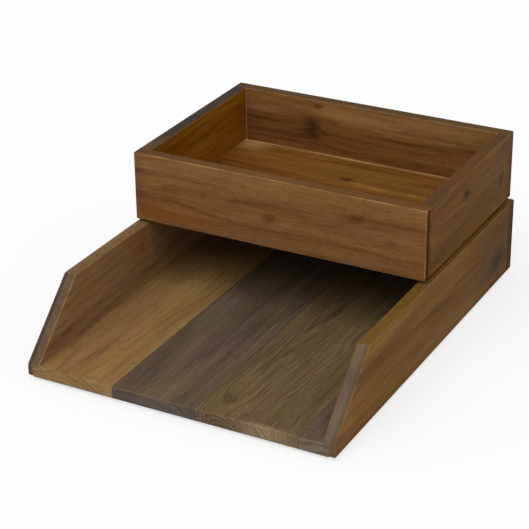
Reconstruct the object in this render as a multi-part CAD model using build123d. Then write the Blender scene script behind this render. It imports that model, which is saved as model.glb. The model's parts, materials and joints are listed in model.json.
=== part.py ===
from build123d import *
import os

# Wooden letter tray, with an open box that stands loose across its side walls.
#
# Millimetres. X runs left to right, Y front to back and Z up. The origin is on the surface that the
# feet stand on, at the middle of the tray. The tray's front is open and faces -Y.

os.makedirs("parts", exist_ok=True)

# ---- tray
tray_width = 250.0
tray_depth = 328.0
tray_height = 61.0             # side and back walls, without the feet
tray_wall = 10.0               # thickness of the side and back boards
tray_floor = 10.0              # thickness of the floor panel
tray_rabbet = 5.0              # how far the floor panel reaches into the walls
slope_run = 54.0               # depth over which the side walls slope down at the front
slope_top_round = 3.0          # rounding where the slope meets the top of a wall
slope_nose_round = 3.0         # rounding where the slope meets the front end of a wall
side_heel_round = 2.5          # rounding of a side wall's lower front corner
tray_first_joint = -52.0       # from the tray's middle to the first joint in its floor panel
tray_stave_2 = 68.5            # widths of the strips that follow the joint;
tray_stave_3 = 80.5            # the first and the last strip take the rest of the panel

# ---- box
box_left_inset = 0.0           # the box stands flush with the tray's left face,
box_right_inset = 3.5          # a little inside its right face
box_back_inset = 0.0           # and flush with its back
box_depth = 172.5
box_height = 56.5              # without the bumpers
box_wall = 10.0
box_floor = 10.0
box_rabbet = 5.0
box_stave = 51.0               # width of the strips in the floor panel, from the front
narrowest_stave = 20.0         # a left-over strip that is narrower stays part of the last one

# ---- both
ease = 1.0                     # rounding of every edge that a hand can reach

# ---- rubber feet under the tray, and rubber bumpers between the box and the tray
foot_diameter = 12.0
foot_height = 2.0
foot_inset = 14.0              # from the faces of the tray to a foot's centre
bumper_diameter = 5.0
bumper_height = 2.0
bumper_inset = 16.0            # from the box's front or back face to a bumper's centre
rubber_ease = 0.5              # rounding of the edge that a foot or bumper stands on

# ---- dowels in the corner joints
dowel_diameter = 4.0
dowel_length = 18.0
dowel_in_face = 6.0            # how far a dowel reaches into the board that covers the joint
dowel_glue = 0.1               # glue round a dowel and at each of its ends
dowel_inset = 16.0             # from the top and the bottom of a joint to a dowel's axis

# ---- faces that follow from the sizes above
tray_left = -tray_width / 2
tray_right = tray_width / 2
tray_front = -tray_depth / 2
tray_back = tray_depth / 2
tray_bottom = foot_height
tray_top = tray_bottom + tray_height
tray_floor_top = tray_bottom + tray_floor

box_left = tray_left + box_left_inset
box_right = tray_right - box_right_inset
box_back = tray_back - box_back_inset
box_front = box_back - box_depth
box_bottom = tray_top + bumper_height
box_top = box_bottom + box_height
box_floor_top = box_bottom + box_floor

beyond = 5.0                   # how far a cutting block reaches past what it cuts


# ---- helpers
def block(x_low, x_high, y_low, y_high, z_low, z_high):
    """A rectangular block between two corners."""
    low_corner = (Align.MIN, Align.MIN, Align.MIN)
    return Pos(x_low, y_low, z_low) * Box(x_high - x_low, y_high - y_low, z_high - z_low, align=low_corner)


def rubber_disc(x, y, z_low, diameter, height):
    """A round rubber foot that stands on the height z_low, with its lower edge eased."""
    base_centre = (Align.CENTER, Align.CENTER, Align.MIN)
    disc = Cylinder(diameter / 2, height, align=base_centre)
    lower_edge = disc.edges().filter_by(GeomType.CIRCLE).sort_by(Axis.Z)[0]
    return Pos(x, y, z_low) * fillet(lower_edge, rubber_ease)


def lies_at(edge, x=None, y=None, z=None):
    """Whether the whole edge has the coordinates that are given."""
    near = 0.01
    span = edge.bounding_box()
    low = (span.min.X, span.min.Y, span.min.Z)
    high = (span.max.X, span.max.Y, span.max.Z)
    wanted = (x, y, z)
    return all(
        place is None or (abs(first - place) < near and abs(last - place) < near)
        for place, first, last in zip(wanted, low, high)
    )


def stands(edge):
    """Whether the edge runs straight up."""
    middle = edge.center()
    return lies_at(edge, x=middle.X, y=middle.Y)


def dowel_pairs(low, high):
    """The heights of the two dowels in a joint between two heights."""
    return (low + dowel_inset, high - dowel_inset)


def dowel(x, joint_y, z, into_face, swell=0.0):
    """A dowel across a joint in the plane y = joint_y; into_face is +1 or -1, towards the face board.

    swell makes it larger all round, for the hole that it is glued into.
    """
    face_end = joint_y + into_face * (dowel_in_face + swell)
    side_end = joint_y - into_face * (dowel_length - dowel_in_face + swell)
    length = abs(face_end - side_end)
    pin = Rot(90, 0, 0) * Cylinder(dowel_diameter / 2 + swell, length)
    return Pos(x, (face_end + side_end) / 2, z) * pin


def save(shape, name):
    """Write one piece under its own name."""
    shape.label = name
    export_step(shape, f"parts/{name}.step")


# ---- tray
def tray_dowels(swell=0.0):
    """The dowels between the side boards and the back board."""
    joint = tray_back - tray_wall
    middles = (tray_left + tray_wall / 2, tray_right - tray_wall / 2)
    heights = dowel_pairs(tray_floor_top, tray_top)
    return [dowel(x, joint, z, 1, swell) for x in middles for z in heights]


def tray_side_outline():
    """A side wall seen from the side: square at the back, with a slope down to the floor at the front."""
    slope_top = (tray_front + slope_run, tray_top)
    slope_nose = (tray_front, tray_floor_top)
    heel = (tray_front, tray_bottom)
    back_corners = [(tray_back, tray_bottom), (tray_back, tray_top)]
    outline = make_face(Polyline(heel, *back_corners, slope_top, slope_nose, close=True))
    rounds = ((slope_top, slope_top_round), (slope_nose, slope_nose_round), (heel, side_heel_round))
    for corner, radius in rounds:
        vertex = outline.vertices().sort_by_distance((*corner, 0))[0]
        outline = fillet(vertex, radius)
    return outline


def tray_walls():
    """The side walls and the back wall in one, eased, with the rabbet that holds the floor panel."""
    inner_left = tray_left + tray_wall
    inner_right = tray_right - tray_wall
    inner_back = tray_back - tray_wall
    lip = tray_wall - tray_rabbet

    solid = Pos(tray_left, 0, 0) * extrude(Plane.YZ * tray_side_outline(), tray_width)
    hollow = block(inner_left, inner_right, tray_front - beyond, inner_back,
                   tray_bottom - beyond, tray_top + beyond)
    walls = solid - hollow

    def is_eased(edge):
        outer_face = lies_at(edge, x=tray_left) or lies_at(edge, x=tray_right)
        inner_face = lies_at(edge, x=inner_left) or lies_at(edge, x=inner_right)
        inner_rim = inner_face and not stands(edge) and not lies_at(edge, z=tray_bottom)
        back_rims = lies_at(edge, y=tray_back, z=tray_top) or lies_at(edge, y=inner_back, z=tray_top)
        back_underside = lies_at(edge, y=tray_back, z=tray_bottom)
        return outer_face or inner_rim or back_rims or back_underside

    walls = fillet([edge for edge in walls.edges() if is_eased(edge)], ease)
    return walls - block(tray_left + lip, tray_right - lip, tray_front - beyond, tray_back - lip,
                         tray_bottom - beyond, tray_floor_top)


def tray_boards():
    """The side boards, and the back board over the full width that covers their ends."""
    walls = tray_walls()
    for hole in tray_dowels(dowel_glue):
        walls = walls - hole
    joint = tray_back - tray_wall
    left = tray_left - beyond
    right = tray_right + beyond
    front = tray_front - beyond
    low = tray_bottom - beyond
    high = tray_top + beyond
    save(walls & block(left, 0, front, joint, low, high), "tray_side_left")
    save(walls & block(0, right, front, joint, low, high), "tray_side_right")
    save(walls & block(left, right, joint, tray_back + beyond, low, high), "tray_back")
    save(Compound(children=tray_dowels()), "tray_corner_dowels")


def tray_floor_panel():
    """The floor: strips that run front to back, glued edge to edge."""
    lip = tray_wall - tray_rabbet
    left = tray_left + lip
    right = tray_right - lip
    panel = block(left, right, tray_front, tray_back - lip, tray_bottom, tray_floor_top)
    panel = fillet([edge for edge in panel.edges() if lies_at(edge, y=tray_front) and not stands(edge)], ease)
    second_joint = tray_first_joint + tray_stave_2
    joints = (left, tray_first_joint, second_joint, second_joint + tray_stave_3, right)
    for number, (low, high) in enumerate(zip(joints, joints[1:]), start=1):
        strip = block(low, high, tray_front - beyond, tray_back + beyond, tray_bottom - beyond, tray_top)
        save(panel & strip, f"tray_floor_stave_{number}")


def tray_feet():
    """A rubber foot near each corner of the underside."""
    for across, x in (("left", tray_left + foot_inset), ("right", tray_right - foot_inset)):
        for along, y in (("front", tray_front + foot_inset), ("rear", tray_back - foot_inset)):
            save(rubber_disc(x, y, 0, foot_diameter, foot_height), f"tray_foot_{along}_{across}")


# ---- box
def box_dowels(swell=0.0):
    """The dowels between the side boards and the front and back boards."""
    middles = (box_left + box_wall / 2, box_right - box_wall / 2)
    joints = ((box_front + box_wall, -1), (box_back - box_wall, 1))
    heights = dowel_pairs(box_floor_top, box_top)
    return [dowel(x, joint, z, side, swell) for x in middles for joint, side in joints for z in heights]


def box_walls():
    """The four walls in one, eased, with the rabbet that holds the floor panel."""
    lip = box_wall - box_rabbet
    solid = block(box_left, box_right, box_front, box_back, box_bottom, box_top)
    hollow = block(box_left + box_wall, box_right - box_wall, box_front + box_wall, box_back - box_wall,
                   box_bottom - beyond, box_top + beyond)
    walls = solid - hollow
    outer_edges = [edge for edge in walls.edges()
                   if lies_at(edge, x=box_left) or lies_at(edge, x=box_right)
                   or lies_at(edge, y=box_front) or lies_at(edge, y=box_back)]
    inner_rim = [edge for edge in walls.edges().filter_by(lambda edge: lies_at(edge, z=box_top))
                 if not any(edge.is_same(outer) for outer in outer_edges)]
    walls = fillet(outer_edges + inner_rim, ease)
    return walls - block(box_left + lip, box_right - lip, box_front + lip, box_back - lip,
                         box_bottom - beyond, box_floor_top)


def box_boards():
    """The side boards, and the front and back boards over the full width that cover their ends."""
    walls = box_walls()
    for hole in box_dowels(dowel_glue):
        walls = walls - hole
    front_joint = box_front + box_wall
    back_joint = box_back - box_wall
    left = box_left - beyond
    right = box_right + beyond
    middle = (box_left + box_right) / 2
    low = box_bottom - beyond
    high = box_top + beyond
    save(walls & block(left, right, box_front - beyond, front_joint, low, high), "box_front")
    save(walls & block(left, right, back_joint, box_back + beyond, low, high), "box_back")
    save(walls & block(left, middle, front_joint, back_joint, low, high), "box_side_left")
    save(walls & block(middle, right, front_joint, back_joint, low, high), "box_side_right")
    save(Compound(children=box_dowels()), "box_corner_dowels")


def box_floor_panel():
    """The floor: strips that run left to right, glued edge to edge."""
    lip = box_wall - box_rabbet
    joints = [box_front + lip]
    while joints[-1] + box_stave < box_back - lip - narrowest_stave:
        joints.append(joints[-1] + box_stave)
    joints.append(box_back - lip)
    for number, (low, high) in enumerate(zip(joints, joints[1:]), start=1):
        strip = block(box_left + lip, box_right - lip, low, high, box_bottom, box_floor_top)
        save(strip, f"box_floor_stave_{number}")


def box_bumpers():
    """A bumper near each corner, at the middle of the width where the box's wall stands over the tray's."""
    over_left = (max(tray_left, box_left), min(tray_left + tray_wall, box_left + box_wall))
    over_right = (max(tray_right - tray_wall, box_right - box_wall), min(tray_right, box_right))
    for across, (near, far) in (("left", over_left), ("right", over_right)):
        for along, y in (("front", box_front + bumper_inset), ("rear", box_back - bumper_inset)):
            bumper = rubber_disc((near + far) / 2, y, tray_top, bumper_diameter, bumper_height)
            save(bumper, f"box_bumper_{along}_{across}")


tray_boards()
tray_floor_panel()
tray_feet()
box_boards()
box_floor_panel()
box_bumpers()
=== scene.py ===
import json
import math
import random

import bpy
from mathutils import Matrix, Vector


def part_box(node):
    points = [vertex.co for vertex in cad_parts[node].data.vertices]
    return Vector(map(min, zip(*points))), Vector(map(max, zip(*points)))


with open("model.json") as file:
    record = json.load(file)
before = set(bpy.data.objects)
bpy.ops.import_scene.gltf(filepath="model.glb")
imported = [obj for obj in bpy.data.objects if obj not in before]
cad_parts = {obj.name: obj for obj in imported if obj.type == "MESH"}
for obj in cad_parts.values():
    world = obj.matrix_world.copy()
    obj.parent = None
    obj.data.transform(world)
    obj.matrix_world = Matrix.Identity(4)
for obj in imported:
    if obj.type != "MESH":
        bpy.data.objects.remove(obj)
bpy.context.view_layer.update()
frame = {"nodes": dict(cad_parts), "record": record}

# ---- axes of the row frame, and its unit
X, Y, Z = 0, 1, 2
MM = 1000.0                    # millimetres in a metre, the frame's unit

# ---- camera: the photograph's view, as directions and distances in the row frame
AZIMUTH = math.radians(28.32)
ELEVATION = math.radians(26.25)
ROLL = math.radians(0.63)
LOOK_AT = Vector((-0.0082, -0.0136, 0.0528))
DISTANCE = 1.3537
LENS_MM = 121.24
SENSOR_MM = 36.0

# ---- light and floor
WHITE = (1.0, 1.0, 1.0, 1.0)
SKY_STRENGTH = 0.60
KEY_STRENGTH = 1.50
KEY_SPREAD = math.radians(60.0)
KEY_FROM = Vector((0.10, -0.50, 1.0))
FLOOR_HALF = 30.0              # metres from the middle of the floor to its sides
FLOOR_COLOUR = (0.95, 0.95, 0.95, 1.0)
FLOOR_ROUGHNESS = 0.9
FLOOR_GLOW = 0.68              # share of the floor that the camera sees as plain white, without shadow

# ---- wood: noise fields. Lengths on the boards are in millimetres from here on.
# Each field: length along the grain, width across it, detail, roughness, offset from the other fields.
FIELDS = {
    "broad": (150.0, 15.0, 2.0, 0.5, 0.0),
    "medium": (70.0, 3.6, 3.0, 0.6, 31.0),
    "fine": (30.0, 1.0, 2.0, 0.6, 57.0),
    "fibre": (11.0, 0.30, 1.0, 0.5, 83.0),
    "pore": (5.0, 0.24, 0.0, 0.5, 111.0),
    "wobble": (110.0, 24.0, 2.0, 0.5, 139.0),
    "drift": (60.0, 9.0, 2.0, 0.5, 171.0),
    "ragged": (9.0, 5.0, 2.0, 0.6, 203.0),
    "hue": (85.0, 13.0, 2.0, 0.5, 229.0),
    "edge_wear_and_highlight": (22.0, 6.0, 2.0, 0.6, 257.0),
}
FIELD_RANGE = 900.0            # a board's fields start at a random place up to this far out
MIDDLE = 0.5                   # the middle of a noise field, and of the tones
PER_LENGTH = 100.0             # slants are given as a shift in this much length along the grain

# ---- wood: faces, told by the cosine between the surface and a direction, from not at all to fully
END_FACE = (0.80, 0.95)        # the end grain, against the grain
AXIS_FACE = (0.55, 0.85)       # a face that looks along an axis
SLOPE_FACE = (0.93, 0.985)     # the sloping end, against its own direction
FLAT_FACE = (0.88, 0.985)      # a flat face; what isn't one is a rounded edge
SLOPE_COSINE = 0.95            # a mesh face slopes if no part of its normal reaches this

# ---- wood: knots, with distances in radii
KNOT_STRETCH = 1.6             # how much longer it is along the grain
KNOT_RAGGED = 1.3              # how much noise there is in the outline
KNOT_CORE = (0.10, 1.25)       # the core fades out between these
KNOT_RIM = 1.2                 # the dark rim's distance
KNOT_RIM_FALL = 5.0            # how sharply it fades to both sides
KNOT_SWELL = 1.8               # how far the growth rings bend round it
KNOT_SWELL_FALL = 0.14         # how sharply that fades outward

# ---- wood: growth rings
RING_WOBBLE = 26.0             # how far the rings wander across the board
RING_DRIFT = 5.0               # how far they wander outward
RING_CHANGE = 0.37             # pace at which they change in strength from ring to ring
RING_NOISE = (1.0, 0.5)        # detail and roughness of that change
RING_FAINT = (0.30, 0.70)      # noise at which a ring is faintest and strongest
RING_FAINTEST = 0.15
END_RINGS = 3.0                # how much stronger they are on the end grain

# ---- wood: what each thing does to the tone, where 0 is the darkest and 1 the lightest
BROAD_TONE = 0.85
MEDIUM_TONE = 0.75
FINE_TONE = 0.26
FIBRE_TONE = 0.18
CORE_TONE = -0.42
RIM_TONE = -0.14
TONE_STOPS = (0.0, 0.25, 0.5, 0.75, 1.0)
STREAK_WARP = (("medium", 3.0), ("wobble", 14.0))    # fields that bend the streaks, and how far
PATCH_WARP = (("medium", 3.0), ("drift", 5.0))

# ---- wood: colour over the tone, edge wear with painted highlights, and seams
HUE_TURN = (0.36, 0.64)        # from reddish to golden
LIP_FADE = 0.8                 # half of the width over which a lip's colour fades
PORE_NOISE = (0.60, 0.72)      # noise from which a pore begins to where it is full
PORE_SHARE = 0.40
WEAR_AND_HIGHLIGHT_NOISE = (0.40, 0.62)      # noise at which an edge is least and most worn and highlit
WEAR_AND_HIGHLIGHT_LEAST = 0.25
WEAR_AND_HIGHLIGHT_TURN = (0.0, 0.4)         # cosine to the worn and lit side at which an edge is least and most worn and highlit
WEAR_AND_HIGHLIGHT_ELSEWHERE = 0.2
SEAM_WIDTH = (0.08, 0.40)      # distances from the joint over which it fades
SEAM_SHARE = 0.55

# ---- wood: gloss and relief
ROUGHNESS = 0.50
FINE_ROUGH = 0.22
PORE_ROUGH = 0.12
END_ROUGH = 0.12
IOR = 1.45
GLOSS = 0.02                   # a matte finish, with hardly any mirror light
RELIEF = 0.00020               # metres
RELIEF_STRENGTH = 0.65
FIBRE_HEIGHT = 0.5
FINE_HEIGHT = 0.4
PORE_HEIGHT = -0.7
RING_HEIGHT = -0.2
SEAM_HEIGHT = -1.0
CORE_HEIGHT = -0.5

# ---- plain materials
GRAIN_NOISE = (2.0, 0.6)       # detail and roughness of their one noise
GRAIN_TURN = (0.2, 0.8)        # noise at which the roughness is lowest and highest
GRAIN_STRENGTH = 0.6           # strength of the relief

# ---- the colour sockets of a Mix node
MIX_FIRST, MIX_SECOND, MIX_RESULT = 6, 7, 2


def colour(red, green, blue):
    """A linear RGBA colour from sRGB values of 0 to 255."""
    def linear(value):
        value /= 255.0
        return value / 12.92 if value <= 0.04045 else ((value + 0.055) / 1.055) ** 2.4
    return (linear(red), linear(green), linear(blue), 1.0)


def palette(*tones):
    """The colours of a wood, from its darkest tone to its lightest."""
    return [colour(*tone) for tone in tones]


def grey(value):
    return (value, value, value, 1.0)


# ---- colours
WALNUT = palette((50, 28, 11), (80, 50, 24), (107, 71, 37), (131, 93, 54), (158, 122, 80))
CHESTNUT = palette((52, 32, 17), (84, 56, 31), (112, 78, 46), (134, 100, 64), (162, 128, 88))
UMBRE = palette((48, 29, 9), (78, 52, 21), (104, 72, 33), (130, 96, 50), (158, 126, 78))
AMBER = palette((60, 26, 2), (94, 52, 5), (128, 78, 10), (152, 104, 36), (178, 140, 84))
GOLD = palette((56, 30, 8), (88, 56, 20), (116, 79, 34), (144, 108, 56), (176, 144, 96))
DUSK = palette((44, 34, 28), (68, 56, 46), (92, 79, 67), (114, 101, 84), (140, 124, 104))
TAN = palette((70, 48, 28), (98, 72, 44), (128, 100, 64), (148, 120, 80), (172, 144, 104))
HONEY = palette((84, 58, 36), (114, 84, 56), (144, 112, 78), (164, 132, 96), (186, 156, 120))
DRAB = palette((60, 48, 34), (84, 70, 50), (110, 94, 69), (134, 116, 88), (158, 140, 110))

ORANGE = colour(140, 82, 28)
PLUM = colour(84, 54, 46)
# grey-blue slate: painted reflection and shade on the box's left top face
SLATE = colour(53, 48, 44)
OLIVE = colour(110, 86, 42)
# pale straw: painted highlight on the box floor's back strip and left end; also a pale line on the back board
STRAW = colour(204, 164, 116)
# smoky grey: painted shade on the tray's left outer strip, and a grey stain round a knot
SMOKE = colour(70, 64, 59)
# grey-browns laid on the tray sides' sloping ends as a painted sheen, and on their end grain
CLAY = colour(101, 83, 63)
MOUSE = colour(107, 91, 79)
UMBER = colour(70, 36, 10)
# pale edges: wear and painted highlight on the rounded edges
PALE_WEAR_AND_HIGHLIGHT = colour(160, 126, 84)
SEAM = colour(36, 22, 13)

# factors on a colour; FIGURE goes by the tone around the board's middle tone
GOLDEN = (1.03, 1.00, 0.84, 1.0)
REDDISH = (1.02, 0.94, 0.98, 1.0)
PORE = (0.35, 0.30, 0.26, 1.0)
FIGURE = [(0.0, grey(0.55)), (0.5, grey(1.0)), (1.0, grey(1.5))]

# how dark the wood is over one growth ring
LATE_WOOD = [(0.0, grey(0.0)), (0.45, grey(0.12)), (0.80, grey(1.0)), (0.97, grey(0.0))]

# plain materials: features in a metre along each axis, dark and light colour, roughness from and to,
# relief in metres
PLAIN = {
    "rubber": (
        (2600.0, 2600.0, 2600.0), colour(38, 34, 32), colour(54, 50, 47), (0.62, 0.80), 0.00010,
    ),
    "dowel_wood": (
        (2400.0, 60.0, 2400.0), colour(186, 150, 104), colour(220, 190, 146), (0.60, 0.75), 0.00012,
    ),
}


class Graph:
    """Builds nodes in a tree. A method that works out a value returns the socket that holds it."""

    def __init__(self, tree):
        self.tree = tree

    def node(self, kind):
        return self.tree.nodes.new(kind)

    def put(self, value, socket):
        """Connect a socket, or write a plain value."""
        if isinstance(value, bpy.types.NodeSocket):
            self.tree.links.new(value, socket)
        else:
            socket.default_value = value

    def fill(self, node, values):
        """Put values into a node's first inputs, in their order."""
        for value, socket in zip(values, node.inputs):
            self.put(value, socket)
        return node.outputs[0]

    def calc(self, operation, *values):
        node = self.node("ShaderNodeMath")
        node.operation = operation
        return self.fill(node, values)

    def add(self, first, second):
        return self.calc("ADD", first, second)

    def less(self, first, second):
        return self.calc("SUBTRACT", first, second)

    def times(self, first, second):
        return self.calc("MULTIPLY", first, second)

    def total(self, values):
        result = values[0]
        for value in values[1:]:
            result = self.add(result, value)
        return result

    def largest(self, values):
        result = values[0]
        for value in values[1:]:
            result = self.calc("MAXIMUM", result, value)
        return result

    def square(self, value):
        return self.times(value, value)

    def length(self, first, second):
        """The length of a line with these two sides."""
        return self.calc("SQRT", self.add(self.square(first), self.square(second)))

    def bell(self, value, fall=1.0):
        """1 where the value is 0, falling smoothly to 0 on both sides."""
        return self.calc("EXPONENT", self.times(self.square(value), -fall))

    def smooth(self, value, low, high, at_low=0.0, at_high=1.0):
        """Turns smoothly from at_low to at_high as the value goes from low to high."""
        node = self.node("ShaderNodeMapRange")
        node.interpolation_type = "SMOOTHSTEP"
        return self.fill(node, (value, low, high, at_low, at_high))

    def vector(self, x, y, z):
        return self.fill(self.node("ShaderNodeCombineXYZ"), (x, y, z))

    def split(self, vector):
        node = self.node("ShaderNodeSeparateXYZ")
        self.put(vector, node.inputs[0])
        return list(node.outputs)

    def noise(self, vector, detail, roughness):
        node = self.node("ShaderNodeTexNoise")
        self.put(vector, node.inputs["Vector"])
        node.inputs["Scale"].default_value = 1.0
        node.inputs["Detail"].default_value = detail
        node.inputs["Roughness"].default_value = roughness
        return node.outputs["Fac"]

    def ramp(self, value, stops, interpolation="LINEAR"):
        node = self.node("ShaderNodeValToRGB")
        self.put(value, node.inputs[0])
        elements = node.color_ramp.elements
        node.color_ramp.interpolation = interpolation
        while len(elements) < len(stops):
            elements.new(0.5)                    # moved to its place below
        for element, (place, tint) in zip(elements, stops):
            element.position = place
            element.color = tint
        return node.outputs[0]

    def mix(self, share, first, second, blend="MIX"):
        node = self.node("ShaderNodeMix")
        node.data_type = "RGBA"
        node.blend_type = blend
        self.put(share, node.inputs["Factor"])
        self.put(first, node.inputs[MIX_FIRST])
        self.put(second, node.inputs[MIX_SECOND])
        return node.outputs[MIX_RESULT]

    def stain(self, first, second):
        """One colour multiplied by another."""
        return self.mix(1.0, first, second, "MULTIPLY")

    def mix_shaders(self, share, first, second):
        return self.fill(self.node("ShaderNodeMixShader"), (share, first, second))

    def seen_ray(self):
        """1 for what the camera, a reflection or glass shows, and 0 for light that falls on the object."""
        rays = self.node("ShaderNodeLightPath").outputs
        kinds = ("Is Camera Ray", "Is Glossy Ray", "Is Transmission Ray")
        return self.largest([rays[kind] for kind in kinds])


class Surface(Graph):
    """A material with one shader."""

    def __init__(self, name):
        self.material = bpy.data.materials.new(name)
        self.material.use_nodes = True
        super().__init__(self.material.node_tree)
        self.tree.nodes.clear()
        self.shader = self.node("ShaderNodeBsdfPrincipled")
        self.output = self.node("ShaderNodeOutputMaterial").inputs["Surface"]
        self.put(self.shader.outputs["BSDF"], self.output)

    def look(self, name, value):
        self.put(value, self.shader.inputs[name])

    def position(self):
        """The point on the surface at rest, in metres."""
        return self.node("ShaderNodeTexCoord").outputs["Object"]

    def normal(self):
        """The direction in which the surface looks at rest."""
        return self.node("ShaderNodeTexCoord").outputs["Normal"]

    def bump(self, height, distance, strength):
        node = self.node("ShaderNodeBump")
        node.inputs["Strength"].default_value = strength
        node.inputs["Distance"].default_value = distance
        self.put(height, node.inputs["Height"])
        self.look("Normal", node.outputs[0])


# ---- wood
class Board:
    """One board: which way its grain runs, its tones and what shows on it.

    Places on a board are in millimetres from its low corner: along the grain, then across it. A side is
    an axis and -1 or 1 for the face that looks that way. A share says how much of a colour is laid on.
    """

    # what a board has if its own line doesn't say otherwise
    pith = (20.0, -55.0)       # the log's heart: across the board and through it
    tilt = (2.0, 5.0)          # how far the heart shifts across and through, in PER_LENGTH
    ring = 6.5                 # width of a growth ring
    level = 0.5                # middle tone: 0 is the darkest, 1 the lightest
    broad = 0.5                # strength of the broad bands
    streaky = 0.5              # strength of the narrower streaks
    rings = 0.12               # how much darker the growth rings are
    streaks = ()               # (along, across, half length, half width, climb in PER_LENGTH, change of tone)
    knots = ()                 # (along, across, radius, strength)
    patches = ()               # (along, across, half length, half width, colour, share)
    patch_side = None          # the one side that has the patches; all have them without it
    lines = ()                 # (axis, place along it, half width, colour, share) on the low broad face
    joints = ()                # (axis, "low" or "high") of the faces glued to a neighbour
    faces = ()                 # (side's axis, side's sign, colour, share); the colours on top faces are painted shade
    end = None                 # (colour, share) of the end grain
    slope = None               # (colour, share) of the sloping end, a painted sheen
    lip = None                 # ("low" or "high", width, colour, share) of the strip beside a broad face; on the tray's sides it is painted shade
    wear_and_highlight = 0.45                # how pale the worn edges are, with their painted highlight
    wear_and_highlight_side = None           # the side whose edges are worn and painted highlit most

    def __init__(self, node, grain, wide, tones, seed, **own):
        self.node = node
        self.grain = grain
        self.wide = wide
        self.thin = X + Y + Z - grain - wide
        self.tones = tones
        self.seed = seed
        for name, value in own.items():
            if not hasattr(Board, name):
                raise TypeError("a board has no " + name)
            setattr(self, name, value)


def sloping_normal(node):
    """The direction of the largest face of a node that looks along no axis."""
    faces = [face for face in frame["nodes"][node].data.polygons if max(map(abs, face.normal)) < SLOPE_COSINE]
    return max(faces, key=lambda face: face.area).normal


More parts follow.
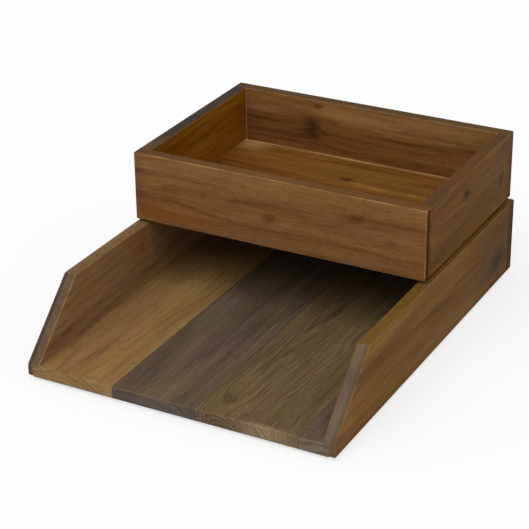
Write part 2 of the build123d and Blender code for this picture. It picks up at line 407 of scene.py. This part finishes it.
class Wood(Surface):
    """The stained wood of one board, from its own coordinates in the log that it was cut from."""

    def __init__(self, board):
        super().__init__("wood." + board.node)
        self.board = board
        self.low, self.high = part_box(board.node)
        chance = random.Random(board.seed)
        self.shift = [chance.uniform(0.0, FIELD_RANGE) for _ in range(3)]
        self.place = self.split(self.position())
        self.along = self.millimetres(board.grain)
        self.across = self.millimetres(board.wide)
        self.through = self.millimetres(board.thin)
        self.fields = {name: self.grain_noise(*field) for name, field in FIELDS.items()}
        self.find_faces()
        self.find_knots()
        self.late = self.late_wood()
        self.tone = self.find_tone()
        self.pores = self.smooth(self.fields["pore"], *PORE_NOISE)
        self.seams = [self.seam(*joint) for joint in board.joints]
        self.paint()
        self.finish()

    def millimetres(self, axis):
        return self.times(self.less(self.place[axis], self.low[axis]), MM)

    def grain_noise(self, length, width, detail, roughness, offset):
        """Noise drawn out along the grain: its features are about length long and width wide."""
        sides = ((self.along, length), (self.across, width), (self.through, width))
        vector = [
            self.add(self.times(side, 1.0 / size), shift + offset)
            for (side, size), shift in zip(sides, self.shift)
        ]
        return self.noise(self.vector(*vector), detail, roughness)

    def centred(self, name, gain):
        """A field's swing to both sides of its middle."""
        return self.times(self.less(self.fields[name], MIDDLE), gain)

    def looks_along(self, axis, sign):
        """1 on the face that looks along an axis."""
        return self.smooth(self.times(self.facing[axis], sign), *AXIS_FACE)

    def find_faces(self):
        self.facing = self.split(self.normal())
        straight = [self.calc("ABSOLUTE", part) for part in self.facing]
        self.end_face = self.smooth(straight[self.board.grain], *END_FACE)
        self.slope_face = 0.0
        if self.board.slope:
            downhill = sloping_normal(self.board.node)
            looks = self.total([self.times(part, share) for part, share in zip(self.facing, downhill)])
            self.slope_face = self.smooth(looks, *SLOPE_FACE)
            straight.append(looks)
        self.edge = self.smooth(self.largest(straight), *FLAT_FACE, 1.0, 0.0)

    def find_knots(self):
        """The dark cores and rims of the knots, and how far they bend the growth rings."""
        self.cores = []
        self.rims = []
        self.swells = []
        ragged = self.centred("ragged", KNOT_RAGGED)
        for knot_along, knot_across, radius, strength in self.board.knots:
            run = self.times(self.less(self.along, knot_along), 1.0 / (radius * KNOT_STRETCH))
            rise = self.times(self.less(self.across, knot_across), 1.0 / radius)
            distance = self.add(self.length(run, rise), ragged)
            self.cores.append(self.times(self.smooth(distance, *KNOT_CORE, 1.0, 0.0), strength))
            rim = self.bell(self.less(distance, KNOT_RIM), KNOT_RIM_FALL)
            self.rims.append(self.times(rim, strength))
            self.swells.append(self.times(self.bell(distance, KNOT_SWELL_FALL), radius * KNOT_SWELL))

    def late_wood(self):
        """How much dark late wood there is, from the distance to the log's heart."""
        board = self.board
        heart = [
            self.add(self.times(self.along, tilt / PER_LENGTH), pith)
            for tilt, pith in zip(board.tilt, board.pith)
        ]
        side = self.add(self.less(self.across, heart[0]), self.centred("wobble", RING_WOBBLE))
        deep = self.less(self.through, heart[1])
        radius = self.add(self.length(side, deep), self.centred("drift", RING_DRIFT))
        if self.swells:
            radius = self.add(radius, self.total(self.swells))
        turns = self.times(radius, 1.0 / board.ring)
        late = self.ramp(self.calc("FRACT", turns), LATE_WOOD, "EASE")
        uneven = self.vector(self.times(turns, RING_CHANGE), self.shift[0], self.shift[1])
        strength = self.smooth(self.noise(uneven, *RING_NOISE), *RING_FAINT, RING_FAINTEST, 1.0)
        return self.times(late, strength)

    def blob(self, warp, along, across, half_length, half_width, climb=0.0):
        """1 at a place on the board, falling smoothly to 0 about twice its half sizes away."""
        bent = self.total([self.across] + [self.centred(name, gain) for name, gain in warp])
        run = self.less(self.along, along)
        rise = self.less(self.less(bent, across), self.times(run, climb / PER_LENGTH))
        long = self.times(run, 1.0 / half_length)
        short = self.times(rise, 1.0 / half_width)
        return self.calc("EXPONENT", self.times(self.add(self.square(long), self.square(short)), -1.0))

    def find_tone(self):
        """How light the wood is, from 0 to 1."""
        board = self.board
        ring_tones = self.smooth(self.end_face, 0.0, 1.0, -board.rings, -END_RINGS * board.rings)
        terms = [
            board.level,
            self.centred("broad", BROAD_TONE * board.broad),
            self.centred("medium", MEDIUM_TONE * board.streaky),
            self.centred("fine", FINE_TONE),
            self.centred("fibre", FIBRE_TONE),
            self.times(self.late, ring_tones),
        ]
        for *shape, change in board.streaks:
            terms.append(self.times(self.blob(STREAK_WARP, *shape), change))
        terms += [self.times(core, CORE_TONE) for core in self.cores]
        terms += [self.times(rim, RIM_TONE) for rim in self.rims]
        return self.total(terms)

    def seam(self, axis, end):
        """1 where a glued joint shows, at one end of the board along an axis."""
        joint = self.low[axis] if end == "low" else self.high[axis]
        gap = self.times(self.calc("ABSOLUTE", self.less(self.place[axis], joint)), MM)
        return self.smooth(gap, *SEAM_WIDTH, 1.0, 0.0)

    def lay(self, tone, mask, share):
        """Lay a colour over what the surface has, where a mask is 1."""
        self.surface = self.mix(self.times(mask, share), self.surface, tone)

    def tint(self, mask, tone, share):
        """Colour the surface where a mask is 1, and keep its figure."""
        relative = self.less(self.tone, self.board.level - MIDDLE)
        self.lay(self.stain(tone, self.ramp(relative, FIGURE)), mask, share)

    def paint(self):
        """The colour, laid on from the wood itself to its seams, with the painted shade, sheen and highlights
        that a board's line asks for.
        """
        board = self.board
        base = self.ramp(self.tone, list(zip(TONE_STOPS, board.tones)))
        golden = self.stain(base, GOLDEN)
        reddish = self.stain(base, REDDISH)
        self.surface = self.mix(self.smooth(self.fields["hue"], *HUE_TURN), reddish, golden)

        for axis, sign, tone, share in board.faces:
            self.tint(self.looks_along(axis, sign), tone, share)
        if board.slope:
            self.tint(self.slope_face, *board.slope)
        if board.end:
            self.tint(self.end_face, *board.end)
        for *shape, tone, share in board.patches:
            mask = self.blob(PATCH_WARP, *shape)
            if board.patch_side:
                mask = self.times(mask, self.looks_along(*board.patch_side))
            self.tint(mask, tone, share)
        if board.lip:
            self.paint_lip(*board.lip)
        for axis, line_place, half_width, tone, share in board.lines:
            offset = self.times(self.less(self.millimetres(axis), line_place), 1.0 / half_width)
            self.lay(tone, self.times(self.bell(offset), self.looks_along(board.thin, -1)), share)

        self.lay(self.stain(self.surface, PORE), self.pores, PORE_SHARE)
        # pale rounded edges: wear and painted highlight
        self.lay(PALE_WEAR_AND_HIGHLIGHT, self.wear_and_highlight_edges(), board.wear_and_highlight)
        if self.seams:
            self.lay(SEAM, self.total(self.seams), SEAM_SHARE)

    def paint_lip(self, end, width, tone, share):
        """The strip of an end that lies beside a broad face."""
        thin = self.board.thin
        depth = self.through
        if end == "high":
            depth = self.less((self.high[thin] - self.low[thin]) * MM, depth)
        strip = self.smooth(depth, width - LIP_FADE, width + LIP_FADE, 1.0, 0.0)
        self.tint(self.times(strip, self.largest([self.slope_face, self.end_face])), tone, share)

    # pale rounded edges, wear and painted highlight, strongest on the chosen side
    def wear_and_highlight_edges(self):
        wear_and_highlight = self.times(self.edge, self.smooth(self.fields["edge_wear_and_highlight"], *WEAR_AND_HIGHLIGHT_NOISE, WEAR_AND_HIGHLIGHT_LEAST, 1.0))
        if self.board.wear_and_highlight_side:
            axis, sign = self.board.wear_and_highlight_side
            turned = self.times(self.facing[axis], sign)
            wear_and_highlight = self.times(wear_and_highlight, self.smooth(turned, *WEAR_AND_HIGHLIGHT_TURN, WEAR_AND_HIGHLIGHT_ELSEWHERE, 1.0))
        return wear_and_highlight

    def finish(self):
        """Colour, gloss and relief."""
        self.look("Base Color", self.surface)
        self.look("Roughness", self.total([
            ROUGHNESS,
            self.centred("fine", FINE_ROUGH),
            self.times(self.pores, PORE_ROUGH),
            self.times(self.end_face, END_ROUGH),
        ]))
        self.look("IOR", IOR)
        self.look("Specular IOR Level", GLOSS)
        heights = [
            self.times(self.fields["fibre"], FIBRE_HEIGHT),
            self.times(self.fields["fine"], FINE_HEIGHT),
            self.times(self.pores, PORE_HEIGHT),
            self.times(self.late, RING_HEIGHT),
        ]
        if self.seams:
            heights.append(self.times(self.total(self.seams), SEAM_HEIGHT))
        heights += [self.times(core, CORE_HEIGHT) for core in self.cores]
        self.bump(self.total(heights), RELIEF, RELIEF_STRENGTH)


BOARDS = [
    Board("box_front", X, Z, CHESTNUT, 11, pith=(16.0, -48.0), tilt=(1.0, 6.0), ring=7.0,
          level=0.63, broad=0.6,
          streaks=((110, 51, 150, 6, 0, 0.09), (10, 40, 18, 4, 0, -0.14), (212, 42, 42, 2.0, -2, -0.18),
                   (60, 42, 24, 1.6, 0, -0.14), (50, 18, 50, 1.8, -6, -0.16), (120, 15, 40, 1.6, 5, -0.12),
                   # painted shade: the streak (2, 28, ...) darkens the left end
                   (200, 15, 60, 2.0, -4, -0.16), (2, 28, 6, 34, 0, -0.14), (140, 8, 120, 4, 0, 0.05)),
          knots=((90, 34, 2.0, 0.5), (119, 23, 3.0, 0.7), (190, 39, 2.6, 0.7), (220, 26, 1.6, 0.5)),
          patches=((28, 8, 42, 6, ORANGE, 0.55), (104, 34, 12, 4, PLUM, 0.35), (112, 50, 60, 6, OLIVE, 0.4)),
          # painted shade: the top face is darkened
          faces=((Z, 1, colour(95, 64, 32), 0.9),),
          end=(colour(98, 64, 34), 0.85),
          lip=("low", 6.0, UMBER, 0.95),
          wear_and_highlight=0.75, wear_and_highlight_side=(Y, -1)),
    Board("box_back", X, Z, WALNUT, 12, pith=(60.0, -40.0), tilt=(-3.0, 4.0), ring=6.0,
          level=0.72, broad=0.9, streaky=0.75,
          streaks=((120, 50, 150, 7, 0, 0.20), (92, 48, 22, 5, 0, 0.12), (120, 14, 170, 9, 0, -0.14),
                   (20, 39, 50, 1.5, 0, -0.18), (16, 33, 48, 1.4, 2, -0.18), (30, 21, 46, 1.3, 0, -0.18),
                   (24, 14, 40, 1.4, 0, -0.16), (160, 33, 50, 2.4, 0, -0.16), (110, 15, 34, 1.6, 0, -0.16),
                   (110, 28, 34, 2.0, -6, -0.14), (72, 31, 6, 12, 0, -0.16),
                   (66, 24, 11, 2.2, 70, -0.18), (82, 30, 11, 1.8, -60, -0.14)),
          knots=((73, 35, 3.2, 0.6), (75, 25, 2.2, 0.6), (78, 51.5, 1.6, 1.0)),
          patches=((72, 32, 9, 12, PLUM, 0.35), (92, 47, 20, 4, colour(150, 108, 56), 0.5),
                   (200, 48, 44, 10, OLIVE, 0.3)),
          lines=((X, 10.6, 0.6, STRAW, 0.5),),
          # painted shade: the top face is darkened
          faces=((Z, 1, colour(79, 57, 34), 0.9),),
          end=(colour(88, 61, 41), 0.85),
          wear_and_highlight=0.35, wear_and_highlight_side=(Y, -1)),
    Board("box_side_left", Y, Z, AMBER, 13, pith=(10.0, -30.0), level=0.60,
          joints=((Y, "low"), (Y, "high")),
          patches=((4, 56, 22, 3, colour(104, 76, 50), 0.8),),
          # painted reflection and shade: the top face is laid over with grey-blue SLATE
          faces=((Z, 1, SLATE, 0.94), (X, -1, colour(112, 78, 46), 0.8)),
          wear_and_highlight=0.08),
    Board("box_side_right", Y, Z, UMBRE, 14, pith=(-20.0, 60.0), level=0.47,
          joints=((Y, "low"), (Y, "high")),
          # painted highlight: the streak (90, 2, ...) is a pale line along the bottom edge
          streaks=((30, 54, 40, 3, 0, 0.12), (30, 49, 36, 1.5, 0, -0.12), (90, 2, 120, 1.2, 0, 0.26)),
          knots=((66, 40, 3.6, 0.8), (138, 24, 3.6, 0.8)),
          patches=((150, 50, 20, 7, PLUM, 0.5), (130, 36, 26, 5, OLIVE, 0.4)),
          # painted shade: the top face is darkened
          faces=((Z, 1, colour(84, 57, 29), 0.9),),
          wear_and_highlight=0.25),
    Board("box_floor_stave_1", X, Y, DUSK, 15, level=0.45, joints=((Y, "high"),)),
    Board("box_floor_stave_2", X, Y, WALNUT, 16, level=0.44, joints=((Y, "low"), (Y, "high"))),
    Board("box_floor_stave_3", X, Y, GOLD, 17, level=0.49, broad=0.7, streaky=0.7,
          joints=((Y, "low"),),
          streaks=((110, 42, 40, 2.4, 0, -0.18), (30, 6, 60, 7, 0, -0.20), (160, 34, 60, 2.0, 3, -0.12),
                   (150, 8, 60, 3.0, 0, 0.10), (128, 11, 8, 1.4, 10, 0.22), (130, 17, 7, 1.2, -12, 0.18)),
          knots=((120, 15, 3.4, 1.0),),
          # painted highlight: a pale strip along the back edge and a pale patch at the left end
          patches=((80, 57, 150, 3.4, STRAW, 1.0), (14, 48, 14, 9, STRAW, 0.5), (150, 26, 80, 18, OLIVE, 0.3),
                   (20, 14, 40, 12, colour(112, 62, 28), 0.5))),
    Board("tray_side_left", Y, Z, HONEY, 18, pith=(-10.0, -40.0), level=0.52,
          joints=((Y, "high"),),
          patches=((146, 44, 12, 14, ORANGE, 0.5),), patch_side=(X, 1),
          # painted shade: the top face is darkened
          faces=((Z, 1, colour(116, 89, 56), 0.85),),
          # painted sheen: the sloping end is greyed; the end grain takes the same colour
          slope=(CLAY, 0.9), end=(CLAY, 0.7),
          # painted shade: a smoky strip along the outer edge of the end faces and the slope
          lip=("low", 3.6, SMOKE, 0.85),
          wear_and_highlight=0.30),
    Board("tray_side_right", Y, Z, UMBRE, 19, pith=(20.0, 50.0), level=0.57,
          joints=((Y, "high"),),
          streaks=((90, 55, 50, 5, 0, 0.18), (70, 42, 34, 3, -6, -0.14), (160, 34, 70, 3.4, -5, -0.16),
                   (200, 8, 60, 5, 0, 0.08), (20, 14, 12, 6, 0, 0.14), (300, 40, 70, 40, 0, -0.18),
                   # painted shade: the streak (160, 1.5, ...) is a dark line along the bottom edge
                   (160, 1.5, 170, 1.2, 0, -0.20)),
          knots=((295, 20, 6.5, 0.8),),
          patches=((290, 22, 34, 13, SMOKE, 0.45), (90, 55, 50, 5, OLIVE, 0.5), (200, 8, 50, 6, OLIVE, 0.5)),
          # painted shade: the top face is darkened
          faces=((Z, 1, colour(105, 76, 34), 0.85),),
          # painted sheen: the sloping end is greyed; the end grain takes the same colour
          slope=(MOUSE, 0.9), end=(MOUSE, 0.8),
          # painted shade: a darker strip along the outer edge of the end faces and the slope
          lip=("high", 3.6, colour(93, 75, 53), 0.7),
          wear_and_highlight=0.35),
    Board("tray_back", X, Z, WALNUT, 20, level=0.44,
          end=(colour(72, 54, 32), 0.9),
          wear_and_highlight=0.10),
    Board("tray_floor_stave_1", Y, X, TAN, 21, ring=3.6, rings=0.15, level=0.60,
          joints=((X, "high"),),
          end=(colour(143, 116, 75), 0.8),
          wear_and_highlight=0.25),
    Board("tray_floor_stave_2", Y, X, DUSK, 22, level=0.52,
          joints=((X, "low"), (X, "high")),
          end=(colour(92, 82, 78), 0.9),
          wear_and_highlight=0.25),
    Board("tray_floor_stave_3", Y, X, DRAB, 23, pith=(18.0, -6.0), ring=3.2, rings=0.20, level=0.46,
          joints=((X, "low"), (X, "high")),
          patches=((0, 56, 3, 18, colour(150, 128, 98), 0.8),),
          end=(colour(106, 88, 68), 0.8),
          wear_and_highlight=0.25),
    Board("tray_floor_stave_4", Y, X, DUSK, 24, level=0.56,
          joints=((X, "low"),),
          end=(colour(120, 107, 89), 0.8),
          wear_and_highlight=0.25),
]


def plain_material(name, scales, dark, light, roughness, relief):
    """A matte material with one fine grain."""
    surface = Surface(name)
    scaled = [surface.times(part, scale) for part, scale in zip(surface.split(surface.position()), scales)]
    grain = surface.noise(surface.vector(*scaled), *GRAIN_NOISE)
    surface.look("Base Color", surface.mix(grain, dark, light))
    surface.look("Roughness", surface.smooth(grain, *GRAIN_TURN, *roughness))
    surface.bump(grain, relief, GRAIN_STRENGTH)
    return surface.material


def dress(node, material):
    """Give a CAD node its one material."""
    mesh = frame["nodes"][node].data
    mesh.materials.clear()
    mesh.materials.append(material)
    for face in mesh.polygons:
        face.material_index = 0


def dress_all():
    for board in BOARDS:
        dress(board.node, Wood(board).material)
    plain = {slot: plain_material(slot, *look) for slot, look in PLAIN.items()}
    for part in frame["record"]["subparts"]:
        if part["material_slot"] in plain:
            dress(part["node"], plain[part["material_slot"]])


def make_floor():
    """A plain white floor that reaches out of sight and keeps a soft shadow."""
    mesh = bpy.data.meshes.new("floor")
    corners = [(-FLOOR_HALF, -FLOOR_HALF, 0), (FLOOR_HALF, -FLOOR_HALF, 0),
               (FLOOR_HALF, FLOOR_HALF, 0), (-FLOOR_HALF, FLOOR_HALF, 0)]
    mesh.from_pydata(corners, [], [(0, 1, 2, 3)])
    floor = bpy.data.objects.new("floor", mesh)
    bpy.context.scene.collection.objects.link(floor)
    surface = Surface("floor")
    surface.look("Base Color", FLOOR_COLOUR)
    surface.look("Roughness", FLOOR_ROUGHNESS)
    surface.look("Specular IOR Level", 0.0)
    glow = surface.node("ShaderNodeEmission")
    glow.inputs["Strength"].default_value = 1.0
    share = surface.times(surface.seen_ray(), FLOOR_GLOW)
    surface.put(surface.mix_shaders(share, surface.shader.outputs["BSDF"], glow.outputs[0]), surface.output)
    mesh.materials.append(surface.material)


def make_sky():
    """A sky that lights the object evenly, and that the camera sees as plain white."""
    world = bpy.data.worlds.new("sky")
    bpy.context.scene.world = world
    world.use_nodes = True
    graph = Graph(world.node_tree)
    light = graph.tree.nodes["Background"]
    backdrop = graph.node("ShaderNodeBackground")
    for node, strength in ((light, SKY_STRENGTH), (backdrop, 1.0)):
        node.inputs["Color"].default_value = WHITE
        node.inputs["Strength"].default_value = strength
    sky = graph.mix_shaders(graph.seen_ray(), light.outputs[0], backdrop.outputs[0])
    graph.put(sky, graph.tree.nodes["World Output"].inputs["Surface"])


def make_key():
    """One broad, soft key light."""
    key = bpy.data.lights.new("key", "SUN")
    key.energy = KEY_STRENGTH
    key.angle = KEY_SPREAD
    lamp = bpy.data.objects.new("key", key)
    lamp.rotation_euler = KEY_FROM.to_track_quat("Z", "Y").to_euler()
    bpy.context.scene.collection.objects.link(lamp)


def make_camera():
    """The camera at the photograph's angle."""
    back = Vector((
        math.sin(AZIMUTH) * math.cos(ELEVATION),
        -math.cos(AZIMUTH) * math.cos(ELEVATION),
        math.sin(ELEVATION),
    ))
    level = Vector((math.cos(AZIMUTH), math.sin(AZIMUTH), 0.0))
    upright = back.cross(level)
    right = math.cos(ROLL) * level - math.sin(ROLL) * upright
    up = math.sin(ROLL) * level + math.cos(ROLL) * upright
    data = bpy.data.cameras.new("camera")
    data.sensor_width = SENSOR_MM
    data.lens = LENS_MM
    camera = bpy.data.objects.new("camera", data)
    turned = Matrix((right, up, back)).transposed().to_4x4()
    camera.matrix_world = Matrix.Translation(LOOK_AT + back * DISTANCE) @ turned
    bpy.context.scene.collection.objects.link(camera)
    bpy.context.scene.camera = camera


make_camera()
make_sky()
make_key()
make_floor()
dress_all()
bpy.context.scene.view_settings.view_transform = "Standard"
